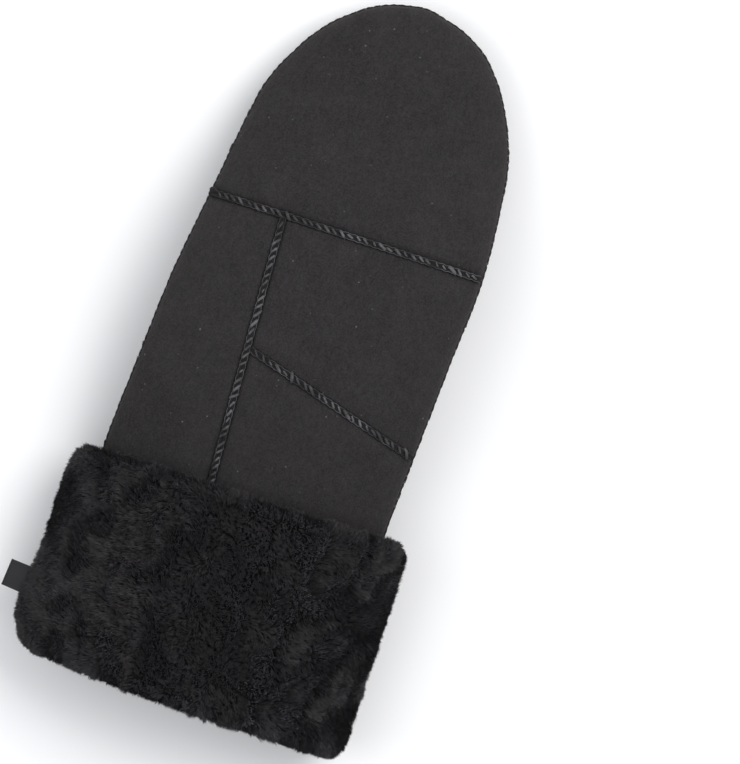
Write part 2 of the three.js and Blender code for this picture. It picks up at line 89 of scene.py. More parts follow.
Row = namedtuple("Row", "along left right lift full")
SECTIONS = [
    Row(0, -1.02, 1.023, 0.633, 0.86),
    Row(0.15, -1.023, 1.023, 0.633, 0.86),
    Row(0.31, -1.023, 1.026, 0.7, 0.93),
    Row(0.42, -0.988, 1.052, 0.92, 1),
    Row(0.553, -0.942, 1.088, 1, 1),
    Row(0.672, -0.862, 1.122, 0.92, 1),
    Row(0.788, -0.788, 1.08, 0.6, 0.97),
    Row(0.846, -0.728, 1.025, 0.47, 0.92),
    Row(0.901, -0.592, 0.904, 0.4, 0.82),
    Row(0.94, -0.45, 0.773, 0.362, 0.7),
    Row(0.969, -0.28, 0.622, 0.343, 0.54),
    Row(0.987, -0.127, 0.447, 0.334, 0.37),
    Row(0.997, 0.047, 0.267, 0.33, 0.18),
    Row(1, 0.161, 0.161, 0.33, 0),
]

ThumbRow = namedtuple("ThumbRow", "along half full")
THUMB_SECTIONS = [
    ThumbRow(0, 0, 0),
    ThumbRow(0.03, 0.5, 0.5),
    ThumbRow(0.12, 0.82, 0.85),
    ThumbRow(0.3, 1, 1),
    ThumbRow(0.6, 0.96, 1),
    ThumbRow(0.8, 0.84, 0.94),
    ThumbRow(0.93, 0.56, 0.72),
    ThumbRow(0.985, 0.26, 0.38),
    ThumbRow(1, 0, 0),
]
THUMB_LENGTH = 92.0
THUMB_WIDTH = 48.0
THUMB_BASE = FOLD_Y + 112.0
THUMB_ACROSS = 28.0
THUMB_GAP = 0.8
HOLE_Y = THUMB_BASE + 27.0
HOLE_HALF = 14.0
HOLE_REACH = 20.0


def smooth_curve(points, shares):
    """Catmull-Rom curve through the points. Its shares run evenly from point to point."""
    points = np.asarray(points, float)
    last = len(points) - 1
    place = np.clip(np.asarray(shares, float) * last, 0, last)
    start = np.minimum(np.floor(place).astype(int), last - 1)
    w = (place - start)[..., None]
    longer = np.vstack([2 * points[0] - points[1], points, 2 * points[-1] - points[-2]])
    before, here, ahead, beyond = (longer[start + k] for k in range(4))
    leave, arrive = (ahead - before) / 2, (beyond - here) / 2
    square = (3 * (ahead - here) - 2 * leave - arrive) * w**2
    cube = (2 * (here - ahead) + leave + arrive) * w**3
    return here + leave * w + square + cube


def edge_row(row, side):
    across = row.left if side < 0 else row.right
    return [across * HALF_WIDTH, FOLD_Y + row.along * LENGTH, row.lift * EDGE_LIFT]


EDGE = [edge_row(r, -1) for r in SECTIONS] + [edge_row(r, 1) for r in SECTIONS[-2::-1]]
FULL = [[r.full] for r in SECTIONS] + [[-r.full] for r in SECTIONS[-2::-1]]


def edge_at(share, depth):
    """The edge seam's line at a share of it, moved in by a depth."""
    share = np.asarray(share, float)
    step = 1e-4
    along = smooth_curve(EDGE, share + step) - smooth_curve(EDGE, share - step)
    length = np.hypot(along[..., 0], along[..., 1])
    point = smooth_curve(EDGE, share)
    point[..., 0] += depth * along[..., 1] / length
    point[..., 1] -= depth * along[..., 0] / length
    return point


def rounding(share):
    """How a flattened section rounds off from its middle to its edge."""
    return np.maximum(0, 1 - np.abs(share) ** 2.4) ** 0.55


def skin(station, across, side, depth):
    """A point of the mitten's skin, on the back (side 1) or the palm (side -1)."""
    station, across = np.broadcast_arrays(np.asarray(station, float), np.asarray(across, float))
    left, right = edge_at(station / 2, depth), edge_at(1 - station / 2, depth)
    point = left + (right - left) * ((1 + across) / 2)[..., None]
    height = BACK_RISE if side > 0 else PALM_DROP
    bulge = smooth_curve(FULL, station / 2)[..., 0] * (height - depth) * rounding(across)
    point[..., 2] += side * (EDGE_HALF + bulge)
    return point


TRIED = np.linspace(0, 1, 3001)
TRIED_Y = smooth_curve(EDGE, TRIED / 2)[:, 1]


def station_at(y):
    return np.interp(y, TRIED_Y, TRIED)


def edge_x(y, side):
    station = station_at(y)
    return smooth_curve(EDGE, station / 2 if side < 0 else 1 - station / 2)[..., 0]


def skin_over(x, y, side, depth=0.0):
    """Height of the leather over or under a place in the plan."""
    station = station_at(y)
    left = edge_at(station / 2, depth)[..., 0]
    right = edge_at(1 - station / 2, depth)[..., 0]
    across = np.clip((2 * (x - left)) / np.maximum(right - left, 1e-6) - 1, -1, 1)
    return skin(station, across, side, depth)[..., 2]


def lengthwise_x(y):
    share = (y - CUFF_TOP_Y) / (CROSS_Y - CUFF_TOP_Y)
    return LENGTHWISE_FOOT + (LENGTHWISE_TOP - LENGTHWISE_FOOT) * share


DIAGONAL_START = float(lengthwise_x(DIAGONAL_Y))
DIAGONAL_END = float(edge_x(DIAGONAL_Y - DIAGONAL_FALL, 1))


def diagonal_y(x):
    return DIAGONAL_Y - DIAGONAL_FALL * (x - DIAGONAL_START) / (DIAGONAL_END - DIAGONAL_START)


class Swell:
    """Smooth seeded waves over the plan, between about -1 and 1."""

    def __init__(self, size, count=9):
        turn = rng.uniform(0, 2 * math.pi, count)
        rate = 2 * math.pi / (size * rng.uniform(0.7, 1.5, count))
        self.x, self.y = rate * np.cos(turn), rate * np.sin(turn)
        self.phase = rng.uniform(0, 2 * math.pi, count)

    def __call__(self, x, y):
        waves = np.sin(np.multiply.outer(x, self.x) + np.multiply.outer(y, self.y) + self.phase)
        return waves.sum(-1) / math.sqrt(len(self.phase))


broad = Swell(70)
medium = Swell(26)
pucker = Swell(9)


def seam_distance(x, y):
    """Distance in the plan to the nearest seam of the back."""
    cross = np.abs(y - CROSS_Y)
    below = y < CROSS_Y
    lengthwise = np.where(below, np.abs(x - lengthwise_x(y)), FAR)
    right_of = below & (x > lengthwise_x(y))
    diagonal = np.where(right_of, np.abs(y - diagonal_y(x)) * DIAGONAL_COSINE, FAR)
    return np.minimum(np.minimum(cross, lengthwise), diagonal)


def softened(x, y, side):
    """How far soft leather stands off the plain skin: slack waves, and dips and puckers at the seams."""
    station = station_at(y)
    left, right = edge_x(y, -1), edge_x(y, 1)
    rim = np.minimum(x - left, right - x)
    slack = 0.45 * broad(x, y) + 0.22 * medium(x, y)
    slack = slack * np.clip(rim / 14, 0, 1) * np.clip((1 - station) * 6, 0, 1)
    if side < 0:
        return slack
    near = seam_distance(x, y)
    dip = -0.75 * np.exp(-((near / 4.0) ** 2)) + 0.28 * np.exp(-(((near - 8) / 4) ** 2))
    puckers = 0.16 * pucker(x, y) * np.exp(-((near / 7) ** 2))
    return slack + (dip + puckers) * np.clip(rim / 5, 0, 1)


# Meshes


def deselect():
    bpy.ops.object.select_all(action="DESELECT")


def coordinates(obj):
    co = np.zeros(len(obj.data.vertices) * 3)
    obj.data.vertices.foreach_get("co", co)
    return co.reshape(-1, 3)


def set_coordinates(obj, points):
    obj.data.vertices.foreach_set("co", np.asarray(points, float).ravel())
    obj.data.update()


def grid(name, columns, rows, place):
    """A grid primitive with each point set by place(u, v). u and v run from 0 to 1."""
    deselect()
    bpy.ops.mesh.primitive_grid_add(x_subdivisions=columns, y_subdivisions=rows, size=1)
    obj = bpy.context.object
    obj.name = obj.data.name = name
    co = coordinates(obj)
    set_coordinates(obj, place(co[:, 0] + 0.5, co[:, 1] + 0.5) * MM)
    return obj


def in_edit(obj, *steps, mode="VERT"):
    """Selects one object, runs the steps in edit mode and leaves it again."""
    deselect()
    obj.select_set(True)
    bpy.context.view_layer.objects.active = obj
    bpy.ops.object.mode_set(mode="EDIT")
    bpy.ops.mesh.select_mode(type=mode)
    for step in steps:
        step()
    bpy.ops.object.mode_set(mode="OBJECT")


def select_all():
    bpy.ops.mesh.select_all(action="SELECT")


def select_none():
    bpy.ops.mesh.select_all(action="DESELECT")


def weld():
    bpy.ops.mesh.remove_doubles(threshold=1e-5)


def face_outwards():
    select_all()
    bpy.ops.mesh.normals_make_consistent(inside=False)


def open_rims():
    select_all()
    bpy.ops.mesh.region_to_loop()


def fill_rims():
    open_rims()
    bpy.ops.mesh.fill()


def bridge_rims():
    open_rims()
    bpy.ops.mesh.bridge_edge_loops()


def thicken(obj, thickness):
    """Gives a sheet its thickness, inwards from its outer face."""
    modifier = obj.modifiers.new("thickness", "SOLIDIFY")
    modifier.thickness = thickness * MM
    modifier.offset = -1
    bpy.context.view_layer.objects.active = obj
    bpy.ops.object.modifier_apply(modifier=modifier.name)


def finish_piece(obj, material, slot, *replaced):
    obj.data.materials.clear()
    obj.data.materials.append(material)
    obj.data.polygons.foreach_set("use_smooth", np.ones(len(obj.data.polygons), bool))
    obj.data.update()
    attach(obj, "root")
    if replaced:
        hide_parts(*replaced)


def mesh_from(name, points, faces):
    mesh = bpy.data.meshes.new(name)
    mesh.from_pydata((np.asarray(points) * MM).tolist(), [], faces)
    mesh.update()
    obj = bpy.data.objects.new(name, mesh)
    bpy.context.scene.collection.objects.link(obj)
    return obj


# Materials


class Material:
    """A node material under construction."""

    def __init__(self, name):
        self.material = bpy.data.materials.new(name)
        self.material.use_nodes = True
        self.tree = self.material.node_tree
        self.shader = self.tree.nodes["Principled BSDF"]
        self.object = self.node("ShaderNodeTexCoord").outputs["Object"]

    def node(self, kind, inputs=None, **settings):
        node = self.tree.nodes.new(kind)
        for key, value in settings.items():
            setattr(node, key, value)
        for key, value in (inputs or {}).items():
            if isinstance(value, bpy.types.NodeSocket):
                self.tree.links.new(value, node.inputs[key])
            else:
                node.inputs[key].default_value = value
        return node

    def noise(self, scale, detail=3.0, roughness=0.5, vector=None, distortion=0.0):
        values = {"Vector": vector or self.object, "Scale": scale, "Detail": detail, "Roughness": roughness}
        values["Distortion"] = distortion
        return self.node("ShaderNodeTexNoise", values).outputs["Fac"]

    def ramp(self, factor, *stops):
        node = self.node("ShaderNodeValToRGB", {"Fac": factor})
        elements = node.color_ramp.elements
        while len(elements) < len(stops):
            elements.new(0.5)
        for element, (position, colour) in zip(elements, stops):
            element.position = position
            element.color = (*colour, 1)
        return node.outputs["Color"]

    def mix(self, factor, a, b, blend="MIX"):
        node = self.node("ShaderNodeMix", {"Factor": factor}, data_type="RGBA", blend_type=blend)
        for socket, value in ((node.inputs[6], a), (node.inputs[7], b)):
            if isinstance(value, bpy.types.NodeSocket):
                self.tree.links.new(value, socket)
            else:
                socket.default_value = (*value, 1)
        return node.outputs[2]

    def math(self, operation, a, b=0.0, clamp=False):
        return self.node("ShaderNodeMath", {0: a, 1: b}, operation=operation, use_clamp=clamp).outputs[0]

    def bump(self, height, strength, distance):
        values = {"Height": height, "Strength": strength, "Distance": distance}
        return self.node("ShaderNodeBump", values).outputs["Normal"]

    def set(self, **values):
        for key, value in values.items():
            socket = self.shader.inputs[key.replace("_", " ")]
            if isinstance(value, bpy.types.NodeSocket):
                self.tree.links.new(value, socket)
            else:
                socket.default_value = value
        return self.material


def grey(value, warm=0.0):
    return (value * (1 + warm), value, value * (1 - warm))


def plum(value):
    """A dark grey of the suede's faint warm violet."""
    return (value * 1.035, value * 0.968, value)


def napped_suede(name, tone, specks=0.62):
    """Brushed suede: patches of wear, brushed clouds, a fine nap and pale specks, with painted shade
    darkening it towards the cuff and a little painted light towards the fingertips.
    """
    m = Material(name)
    patches = m.noise(17, 3, 0.55, distortion=0.8)
    clouds = m.noise(95, 4, 0.62)
    brushed = m.node("ShaderNodeMapping", {"Vector": m.object, "Scale": (1.0, 0.55, 1.0)}).outputs["Vector"]
    strokes = m.noise(560, 3, 0.6, vector=brushed)
    nap = m.noise(1350, 4, 0.75)
    colour = m.ramp(patches, (0.3, plum(tone * 0.72)), (0.72, plum(tone * 1.28)))
    colour = m.mix(0.5, colour, m.ramp(clouds, (0.32, plum(tone * 0.6)), (0.7, plum(tone * 1.35))))
    colour = m.mix(0.3, colour, m.ramp(strokes, (0.34, plum(tone * 0.4)), (0.68, plum(tone * 1.6))))
    colour = m.mix(0.32, colour, m.ramp(nap, (0.38, plum(tone * 0.2)), (0.64, plum(tone * 2.1))))
    # Painted shade and light: by its Object Y the suede is darkened towards the cuff and lightened a little
    # towards the fingertips, standing in for how light falls on the hand.
    along = m.node("ShaderNodeSeparateXYZ", {"Vector": m.object}).outputs["Y"]
    reach = m.math("ADD", m.math("MULTIPLY", along, 4.0), 0.5)
    thread_wear_and_painted_suede_shade = m.ramp(reach, (0.16, grey(0.7)), (0.42, grey(0.86)), (0.68, grey(1.0)), (1.0, grey(1.08)))
    colour = m.mix(1.0, colour, thread_wear_and_painted_suede_shade, "MULTIPLY")
    lint = m.node("ShaderNodeTexVoronoi", {"Vector": m.object, "Scale": 210.0, "Randomness": 1.0})
    chance = m.node("ShaderNodeSeparateColor", {"Color": lint.outputs["Color"]}).outputs[0]
    fleck = m.math("LESS_THAN", lint.outputs["Distance"], 0.082)
    seen = m.math("MULTIPLY", m.math("SUBTRACT", chance, specks, clamp=True), 2.2)
    colour = m.mix(m.math("MULTIPLY", fleck, seen), colour, grey(tone * 5.0, 0.02))
    height = m.math("ADD", m.math("MULTIPLY", nap, 0.6), m.math("MULTIPLY", strokes, 0.7))
    height = m.math("ADD", height, m.math("MULTIPLY", clouds, 1.4))
    normal = m.bump(height, 0.5, 0.0007)
    m.set(Base_Color=colour, Normal=normal, Roughness=0.94, Sheen_Weight=0.06, Sheen_Roughness=0.55)
    return m.set(Sheen_Tint=(0.78, 0.68, 0.6, 1), Specular_IOR_Level=0.12)


def whipping_thread(name, tone):
    """Soft thread, worn pale in some stretches and dark in others."""
    m = Material(name)
    ply = m.noise(1500, 2, 0.6)
    stretches = m.noise(85, 2, 0.6)
    thread_wear_and_painted_suede_shade = m.noise(330, 3, 0.65)
    pale = (tone * 1.55, tone * 1.5, tone * 1.65)
    colour = m.ramp(thread_wear_and_painted_suede_shade, (0.34, grey(tone * 0.3)), (0.68, pale))
    colour = m.mix(0.4, colour, m.ramp(ply, (0.3, grey(tone * 0.3)), (0.75, pale)))
    colour = m.mix(0.85, colour, m.ramp(stretches, (0.42, grey(0.32)), (0.58, grey(1.4))), "MULTIPLY")
    normal = m.bump(ply, 0.6, 0.0003)
    return m.set(Base_Color=colour, Normal=normal, Roughness=0.62, Specular_IOR_Level=0.35)


def sheared_wool(name, dark, light, cool):
    """Wool strands: dark at the root, paler at the tip by the strand's shade, which holds painted shade at
    the root and painted light at the tip, and cooler in some patches.
    """
    m = Material(name)
    # The shade attribute carries each strand's random tone together with painted shade at its root and
    # painted light at its tip.
    shade = m.node("ShaderNodeAttribute", attribute_name="shade").outputs["Fac"]
    patches = m.noise(30, 4, 0.62, distortion=0.6)
    tints = m.noise(38, 3, 0.6, distortion=0.4)
    patchy = m.ramp(patches, (0.36, grey(0.56)), (0.66, grey(1.0)))
    tip = m.mix(m.ramp(tints, (0.52, grey(0.0)), (0.66, grey(1.0))), light, cool)
    colour = m.mix(m.math("MULTIPLY", shade, patchy, clamp=True), dark, tip)
    m.set(Base_Color=colour, Roughness=0.6, Specular_IOR_Level=0.25)
    return m.set(Sheen_Weight=0.16, Sheen_Roughness=0.4, Sheen_Tint=(0.85, 0.82, 0.92, 1))


def wool_bed(name, tone):
    """The dense wool under the strands."""
    m = Material(name)
    curls = m.noise(420, 5, 0.65, distortion=1.2)
    tufts = m.noise(80, 3, 0.6)
    colour = m.ramp(curls, (0.3, grey(tone * 0.35)), (0.75, (tone * 1.3, tone * 1.3, tone * 1.5)))
    colour = m.mix(0.5, colour, m.ramp(tufts, (0.3, grey(tone * 0.5)), (0.7, grey(tone * 1.3))))
    normal = m.bump(curls, 0.9, 0.0015)
    return m.set(Base_Color=colour, Normal=normal, Roughness=0.9, Specular_IOR_Level=0.15)


def woven_tape(name, tone):
    """Dark twill tape, its ribs aslant."""
    m = Material(name)
    aslant = (0, 0, math.radians(40))
    turned = m.node("ShaderNodeMapping", {"Vector": m.object, "Rotation": aslant}).outputs["Vector"]
    twill = m.node(
        "ShaderNodeTexWave",
        {"Vector": turned, "Scale": 480.0, "Distortion": 0.6, "Detail": 2.0},
        bands_direction="X",
    ).outputs["Fac"]
    fibres = m.noise(1800, 2, 0.6)
    weave = m.math("ADD", m.math("MULTIPLY", twill, 0.7), m.math("MULTIPLY", fibres, 0.5))
    colour = m.ramp(weave, (0.2, grey(tone * 0.7)), (0.95, (tone * 1.25, tone * 1.25, tone * 1.5)))
    normal = m.bump(weave, 0.4, 0.0003)
    return m.set(Base_Color=colour, Normal=normal, Roughness=0.75, Specular_IOR_Level=0.3)


suede = napped_suede("charcoal suede", 0.0205)
seam_suede = napped_suede("seam suede", 0.012, specks=0.97)
edge_suede = napped_suede("edge suede", 0.0175, specks=0.97)
thread = whipping_thread("whipping thread", 0.07)
lip = whipping_thread("lip thread", 0.045)
edge_thread = whipping_thread("edge thread", 0.045)
wool = sheared_wool(
    "sheared wool", dark=(0.0042, 0.0038, 0.004), light=(0.044, 0.04, 0.0418), cool=(0.039, 0.0395, 0.048)
)
bed = wool_bed("wool bed", 0.008)
tape = woven_tape("woven tape", 0.018)

# Suede panels
SUEDE = LEATHER - 0.2
HEM_Y = FOLD_Y + FOLD_WALL
SLIT = 1.0


def even(u):
    """Spaces columns evenly over a rounded section, so that they lie closer near both edges."""
    return (1 - np.cos(np.pi * u)) / 2


def dense_left(u):
    return 1 - np.cos(np.pi * u / 2)


def dense_right(u):
    return np.sin(np.pi * u / 2)


def leather_point(x, y):
    """Point of the back's softened leather over a place in the plan."""
    return np.stack([x, y, skin_over(x, y, 1) + softened(x, y, 1)], axis=-1)


def suede_piece(obj, replaced):
    thicken(obj, SUEDE)
    finish_piece(obj, suede, "suede", replaced)


def panel(name, columns, rows, spread, left, right, low, high, replaced):
    """A panel of the back between its left and right bounds (by y) and its low and high bounds (by x)."""

    def place(u, v):
        share = spread(u)
        y = low(np.zeros_like(u)) * (1 - v) + high(np.zeros_like(u)) * v
        for _ in range(6):
            x = left(y) * (1 - share) + right(y) * share
            y = low(x) * (1 - v) + high(x) * v
        return leather_point(x, y)

    suede_piece(grid(name, columns, rows, place), replaced)


def constant(value):
    return lambda x: np.full_like(x, value)


def left_edge(y):
    return edge_x(y, -1)


def right_edge(y):
    return edge_x(y, 1)


panel(
    "side_suede", 34, 112, dense_left, left_edge, lambda y: lengthwise_x(y) - SLIT,
    constant(HEM_Y), constant(CROSS_Y - SLIT), "side_panel",
)
panel(
    "back_suede", 70, 54, dense_right, lambda y: lengthwise_x(y) + SLIT, right_edge,
    lambda x: diagonal_y(x) + SLIT, constant(CROSS_Y - SLIT), "back_panel",
)
panel(
    "wrist_suede", 68, 82, dense_right, lambda y: lengthwise_x(y) + SLIT, right_edge,
    constant(HEM_Y), lambda x: diagonal_y(x) - SLIT, "wrist_panel",
)


def full_skin(name, columns, rows, start, side):
    """Suede from a line across the hand to the fingertips, with its columns meeting at the tip."""

    def place(u, v):
        across = 1 - 2 * even(u) if side < 0 else 2 * even(u) - 1
        station = start + (1 - start) * v
        point = skin(station, across, side, 0)
        point[:, 2] += side * softened(point[:, 0], point[:, 1], side)
        return point

    obj = grid(name, columns, rows, place)
    in_edit(obj, select_all, weld)
    return obj


suede_piece(full_skin("finger_suede", 84, 84, float(station_at(CROSS_Y + SLIT)), 1), "finger_panel")


def cut_thumb_hole(obj):
    """Takes out the palm where the thumb opens from it."""
    in_edit(obj, select_none, mode="FACE")
    for face in obj.data.polygons:
        x, y = face.center.x / MM, face.center.y / MM
        face.select = ((x - THUMB_ACROSS) / HOLE_HALF) ** 2 + ((y - HOLE_Y) / HOLE_REACH) ** 2 < 1
    in_edit(obj, lambda: bpy.ops.mesh.delete(type="FACE"), mode="FACE")


palm = full_skin("palm_suede", 64, 128, float(station_at(HEM_Y)), -1)
cut_thumb_hole(palm)
suede_piece(palm, "palm_panel")

# Thumb


def thumb_skin(share, angle):
    """Point of the thumb by share of its length from the root and angle round it."""
    rows = [[r.half * THUMB_WIDTH / 2, THUMB_BASE + r.along * THUMB_LENGTH, r.full] for r in THUMB_SECTIONS]
    at = smooth_curve(rows, share)
    x = THUMB_ACROSS + at[:, 0] * np.cos(angle)
    y = at[:, 1]
    half = (skin_over(x, y, -1) - THUMB_GAP) / 2
    upper = np.minimum(1, at[:, 2]) * rounding(np.cos(angle)) * np.sign(np.round(np.sin(angle), 6))
    return np.stack([x, y, half + upper * half], axis=-1)


thumb = grid("thumb_suede", 72, 66, lambda u, v: thumb_skin(even(v), -2 * np.pi * u))
in_edit(thumb, select_all, weld, face_outwards)
finish_piece(thumb, suede, "suede", "thumb", "thumb_lining", "thumb_seam")

# Seams
PROFILE = [
    (-1.0, -1.2), (-0.98, 0.1), (-0.86, 0.7), (-0.6, 1.0), (-0.32, 0.9), (0.0, 0.45),
    (0.32, 0.9), (0.6, 1.0), (0.86, 0.7), (0.98, 0.1), (1.0, -1.2),
]


def frames_along(path, up):
    """Directions along a path, square to it in the skin and out of the skin, from its rough ups."""
    along = np.gradient(path, axis=0)
    along /= np.linalg.norm(along, axis=1)[:, None]
    square = np.cross(up, along)
    square /= np.linalg.norm(square, axis=1)[:, None]
    return along, square, np.cross(along, square)


def resample(path, step):
    lengths = np.concatenate([[0], np.cumsum(np.linalg.norm(np.diff(path, axis=0), axis=1))])
    count = max(3, int(round(lengths[-1] / step)) + 1)
    at = np.linspace(0, lengths[-1], count)
    return np.stack([np.interp(at, lengths, path[:, k]) for k in range(3)], axis=1)


def seam_ridge(name, path, up, half, height, replaced=(), material=None):
    """Two sewn edges of suede that stand up side by side along a path, gathered between the stitches."""
    square, top = frames_along(path, up)[1:]
    count, width = len(path), len(PROFILE)
    step = np.linalg.norm(np.diff(path, axis=0), axis=1).mean()
    gather = 0.1 * np.cos(2 * np.pi * np.arange(count) * step / STITCH_PITCH)
    wobble = 1 + gather + 0.06 * np.sin(np.arange(count) * 0.37) + 0.04 * rng.standard_normal(count)
    points = []
    for across, rise in PROFILE:
        reach = across * half * (1 + 0.8 * gather)
        points.append(path + square * reach[:, None] + top * (rise * height * wobble)[:, None])
    points = np.stack(points, axis=1)

    def place(u, v):
        i = np.round(v * (count - 1)).astype(int)
        j = np.round(u * (width - 1)).astype(int)
        return points[i, j]

    obj = grid(name, width - 1, count - 1, place)
    in_edit(obj, fill_rims, face_outwards)
    finish_piece(obj, material or seam_suede, "seam", *replaced)


def stitch_template(radius, half, height, slant):
    """One whip stitch: a round thread laid aslant over a ridge, from foot to foot."""
    sides, bends = 6, 8

    def place(u, v):
        turn = np.pi * v
        sunk = 0.3 * height * np.exp(-(((turn - np.pi / 2) / 0.4) ** 2))
        rise = height * np.sin(turn) ** 0.8 - 0.25 - sunk
        middle = np.stack([slant * (v - 0.5), -half * np.cos(turn), rise], axis=1)
        ahead = np.full_like(v, slant / np.pi)
        direction = np.stack([ahead, half * np.sin(turn), height * np.cos(turn)], axis=1)
        direction /= np.linalg.norm(direction, axis=1)[:, None]
        aside = np.cross(direction, [1.0, 0.0, 0.0])
        aside /= np.linalg.norm(aside, axis=1)[:, None]
        around = 2 * np.pi * u
        thick = radius * (0.72 + 0.28 * np.sin(turn))[:, None]
        over = np.cross(direction, aside)
        return middle + thick * (np.cos(around)[:, None] * aside + np.sin(around)[:, None] * over)

    obj = grid("stitch", sides, bends - 1, place)
    in_edit(obj, select_all, weld, fill_rims, face_outwards)
    points = coordinates(obj) / MM
    faces = [tuple(face.vertices) for face in obj.data.polygons]
    bpy.data.objects.remove(obj)
    return points, faces


def stitches(name, path, up, half, height, radius=0.62, slant=-3.5, material=None):
    """Whip stitches in a row over a ridge, each a copy of one, a little out of true."""
    points, faces = stitch_template(radius, half, height, slant)
    spots = resample(path, STITCH_PITCH)
    along, square, top = frames_along(spots, up(spots))
    all_points, all_faces = [], []
    for i in range(1, len(spots) - 1):
        turn = rng.normal(0, 0.15)
        size = 1 + rng.normal(0, 0.12)
        ahead = along[i] * math.cos(turn) + square[i] * math.sin(turn)
        aside = np.cross(top[i], ahead)
        shift = along[i] * rng.normal(0, 0.22) + square[i] * rng.normal(0, 0.1)
        copy = points * size
        placed = spots[i] + shift + copy[:, :1] * ahead + copy[:, 1:2] * aside + copy[:, 2:] * top[i]
        start = len(all_points) * len(points)
        all_points.append(placed)
        all_faces += [tuple(start + v for v in face) for face in faces]
    obj = mesh_from(name, np.concatenate(all_points), all_faces)
    finish_piece(obj, material or thread, "seam")


def lip_thread(name, path, up, across, height, radius=0.2):
    """Thread that runs along one lip of a ridge and rises and falls from stitch to stitch."""
    spots = resample(path, THREAD_STEP)
    square, top = frames_along(spots, up(spots))[1:]
    count = len(spots)
    wave = 2 * np.pi * np.arange(count) * THREAD_STEP / STITCH_PITCH
    aside = across + 0.16 * np.sin(wave)
    rise = height + 0.12 * np.cos(wave) + 0.05 * rng.standard_normal(count)
    middle = spots + square * aside[:, None] + top * rise[:, None]

    def place(u, v):
        i = np.round(v * (count - 1)).astype(int)
        around = 2 * np.pi * u[:, None]
        return middle[i] + radius * (np.cos(around) * square[i] + np.sin(around) * top[i])

    obj = grid(name, 5, count - 1, place)
    in_edit(obj, select_all, weld, fill_rims, face_outwards)
    finish_piece(obj, lip, "seam")


def skin_up(path):
    """Outward direction of the back's skin at points of a path."""
    step = 1.5
    x, y = path[:, 0], path[:, 1]
    slope_x = (skin_over(x + step, y, 1) - skin_over(x - step, y, 1)) / (2 * step)
    slope_y = (skin_over(x, y + step, 1) - skin_over(x, y - step, 1)) / (2 * step)
    up = np.stack([-np.clip(slope_x, -3, 3), -np.clip(slope_y, -3, 3), np.ones_like(x)], axis=1)
    return up / np.linalg.norm(up, axis=1)[:, None]


def back_seam(name, x, y, height=1.35):
    """A whipped seam over the back: its ridge, its stitches and a thread along each lip."""
    path = resample(leather_point(x, y), 0.7)
    path = leather_point(path[:, 0], path[:, 1])
    seam_ridge(name + "_ridge", path, skin_up(path), SEAM_HALF, height, (name,))
    stitches(name + "_stitches", path, skin_up, SEAM_HALF * 0.66, height + 0.45)
    lip_thread(name + "_left_thread", path, skin_up, -SEAM_HALF * 0.9, height * 0.8)
    lip_thread(name + "_right_thread", path, skin_up, SEAM_HALF * 0.9, height * 0.8)


y = np.full(SAMPLES, CROSS_Y)
x = np.linspace(float(edge_x(CROSS_Y, -1)) + INSET, float(edge_x(CROSS_Y, 1)) - INSET, SAMPLES)
back_seam("cross_seam", x, y)
y = np.linspace(CUFF_TOP_Y - 14, CROSS_Y - SEAM_HALF, SAMPLES)
back_seam("lengthwise_seam", lengthwise_x(y), y)
x = np.linspace(DIAGONAL_START + SEAM_HALF, DIAGONAL_END - INSET, SAMPLES)
back_seam("diagonal_seam", x, diagonal_y(x), height=1.1)


def seam_knot():
    """Where the cross seam's end is caught up in the edge seam: a small gathered bump of suede."""
    deselect()
    edge = float(edge_x(CROSS_Y, -1))
    spot = np.array([edge + 0.6, CROSS_Y + 0.4, float(skin_over(edge + 1.0, CROSS_Y, 1))])
    bpy.ops.mesh.primitive_uv_sphere_add(segments=20, ring_count=12, radius=MM, location=tuple(spot * MM))
    obj = bpy.context.object
    obj.name = obj.data.name = "cross_seam_knot"
    bpy.ops.transform.resize(value=(1.7, 2.3, 1.5))
    bpy.ops.object.transform_apply(location=True, rotation=True, scale=True)
    points = coordinates(obj) / MM
    x, y, z = points.T
    gathers = 0.16 * np.sin(2.4 * y + 1.3 * z) + 0.08 * pucker(x * 4, z * 4)
    set_coordinates(obj, (points + (points - spot) * gathers[:, None]) * MM)
    finish_piece(obj, seam_suede, "seam")


seam_knot()


def edge_path(depth, start=0.0):
    """The edge seam's line round the fingertips, from a start above the hem on both sides."""
    first = float(station_at(HEM_Y + start)) / 2
    shares = np.linspace(first, 1 - first, 1500)
    return edge_at(shares, depth)


def edge_out(path):
    """Outward direction of the outline at points of a path along the edge."""
    along = np.gradient(path, axis=0)
    out = np.stack([-along[:, 1], along[:, 0], np.zeros(len(path))], axis=1)
    return out / np.linalg.norm(out, axis=1)[:, None]


path = resample(edge_path(EDGE_DEPTH), THREAD_STEP)
seam_ridge("edge_seam_ridge", path, edge_out(path), 1.7, 1.05, ("edge_seam",), edge_suede)
path = edge_path(EDGE_DEPTH, start=CUFF_TOP_Y - HEM_Y - 12)
stitches("edge_seam_stitches", path, edge_out, 1.65, 1.2, radius=0.42, slant=-2.6, material=edge_thread)


def thumb_edge(start, end):
    """The thumb's side seam, round its outline from root to root by its tip."""
    share = np.concatenate([np.linspace(start, end, SAMPLES), np.linspace(end, start, SAMPLES)[1:]])
    angle = np.concatenate([np.full(SAMPLES, np.pi), np.zeros(SAMPLES - 1)])
    return thumb_skin(share, angle)


path = resample(thumb_edge(0.1, 1.0), THREAD_STEP)
seam_ridge("thumb_seam_ridge", path, edge_out(path), 1.4, 0.9, material=edge_suede)
stitches("thumb_seam_stitches", path, edge_out, 1.6, 1.3, radius=0.48, slant=-2.1, material=edge_thread)

# Wool cuff
OUTER = GAP + LEATHER + CUFF_PILE
INNER = -(LEATHER + GAP)
MOUTH = INNER - LINING_PILE
ROLL_DEPTH = 31.0
LIP_STAND = 2.4
STRAND_ROOM = 3.4
LEFT_SWELL = 2.8
LEFT_RISE = 2.6
CORNER_DROP = 3.6


